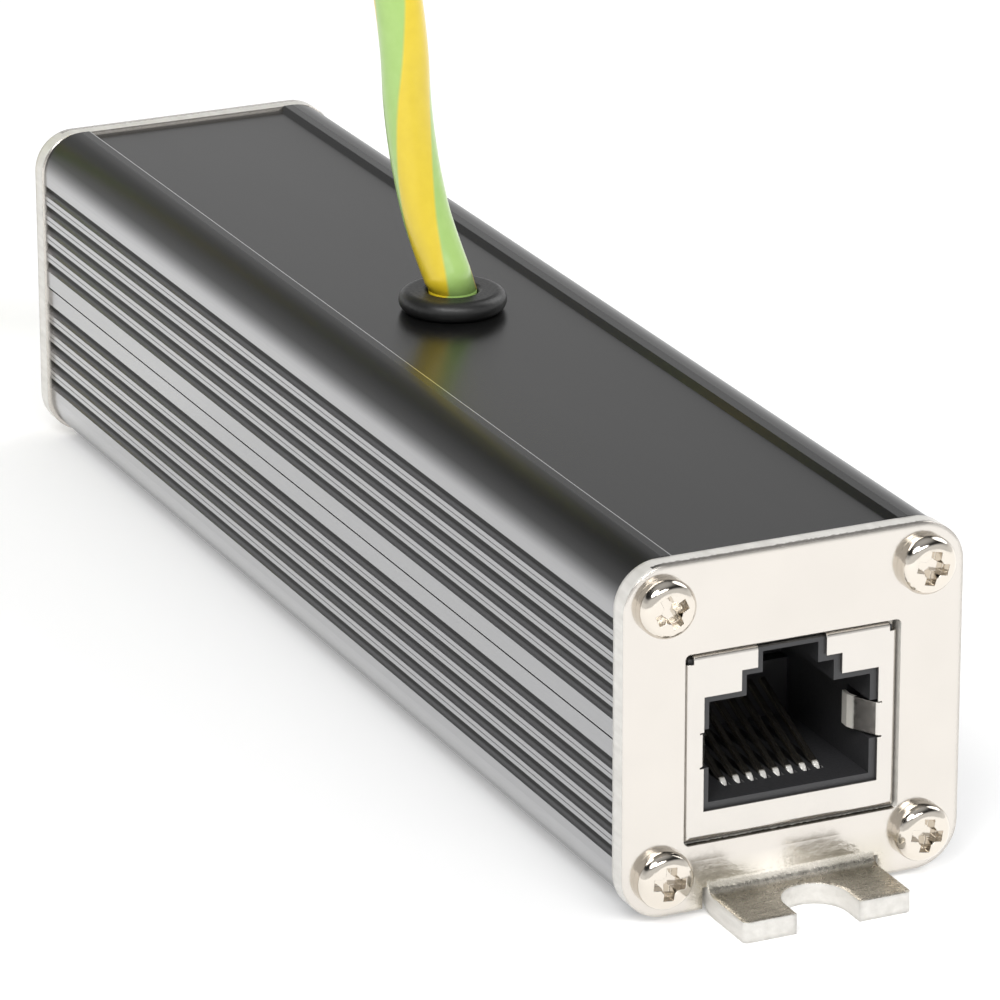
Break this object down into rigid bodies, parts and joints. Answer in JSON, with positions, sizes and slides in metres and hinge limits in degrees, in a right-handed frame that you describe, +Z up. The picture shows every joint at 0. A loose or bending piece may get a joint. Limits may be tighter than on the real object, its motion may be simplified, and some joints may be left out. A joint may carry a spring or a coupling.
{
  "type": "ethernet surge protector",
  "caption": "Inline network surge protector: ribbed black aluminium housing, shielded modular sockets and notched feet at both ends, and a green and yellow earth wire with ring terminal.",
  "frame": {"origin": "middle of the footprint, on the surface that the feet stand on", "axes": "+Z up, +Y along the housing towards the rear socket, +X across it"},
  "size_m": [0.0305, 0.2007, 0.0666],
  "materials": {
    "black_housing": "black anodised aluminium extrusion, semi-gloss",
    "nickel_plate": "nickel-plated steel sheet, bright",
    "screw_metal": "nickel-plated steel",
    "shield_tin": "tinned sheet metal",
    "black_plastic": "moulded, matt",
    "gold_contacts": "gold-plated spring wire",
    "board": "green solder resist",
    "ceramic": "fired ceramic",
    "grommet_rubber": "soft black rubber",
    "wire_insulation": "yellow PVC with a green stripe",
    "copper": "bare copper with solder",
    "sleeve_plastic": "blue insulating sleeve"
  },
  "bodies": {
    "root": {"upper_shell": "black_housing", "lower_shell": "black_housing", "front_end_plate": "nickel_plate", "rear_end_plate": "nickel_plate", "front_plate_screws": "screw_metal", "rear_plate_screws": "screw_metal", "circuit_board": "board", "front_jack_shield": "shield_tin", "rear_jack_shield": "shield_tin", "front_jack_housing": "black_plastic", "rear_jack_housing": "black_plastic", "front_jack_insert": "black_plastic", "rear_jack_insert": "black_plastic", "front_jack_contacts": "gold_contacts", "rear_jack_contacts": "gold_contacts", "gas_tube_ceramics": "ceramic", "gas_tube_electrodes": "shield_tin", "clamp_diodes": "black_plastic", "grommet": "grommet_rubber", "ground_wire_inner": "wire_insulation", "ground_wire_core": "copper", "ground_wire": "wire_insulation", "terminal_sleeve": "sleeve_plastic", "ring_terminal": "shield_tin"}
  },
  "joints": []
}
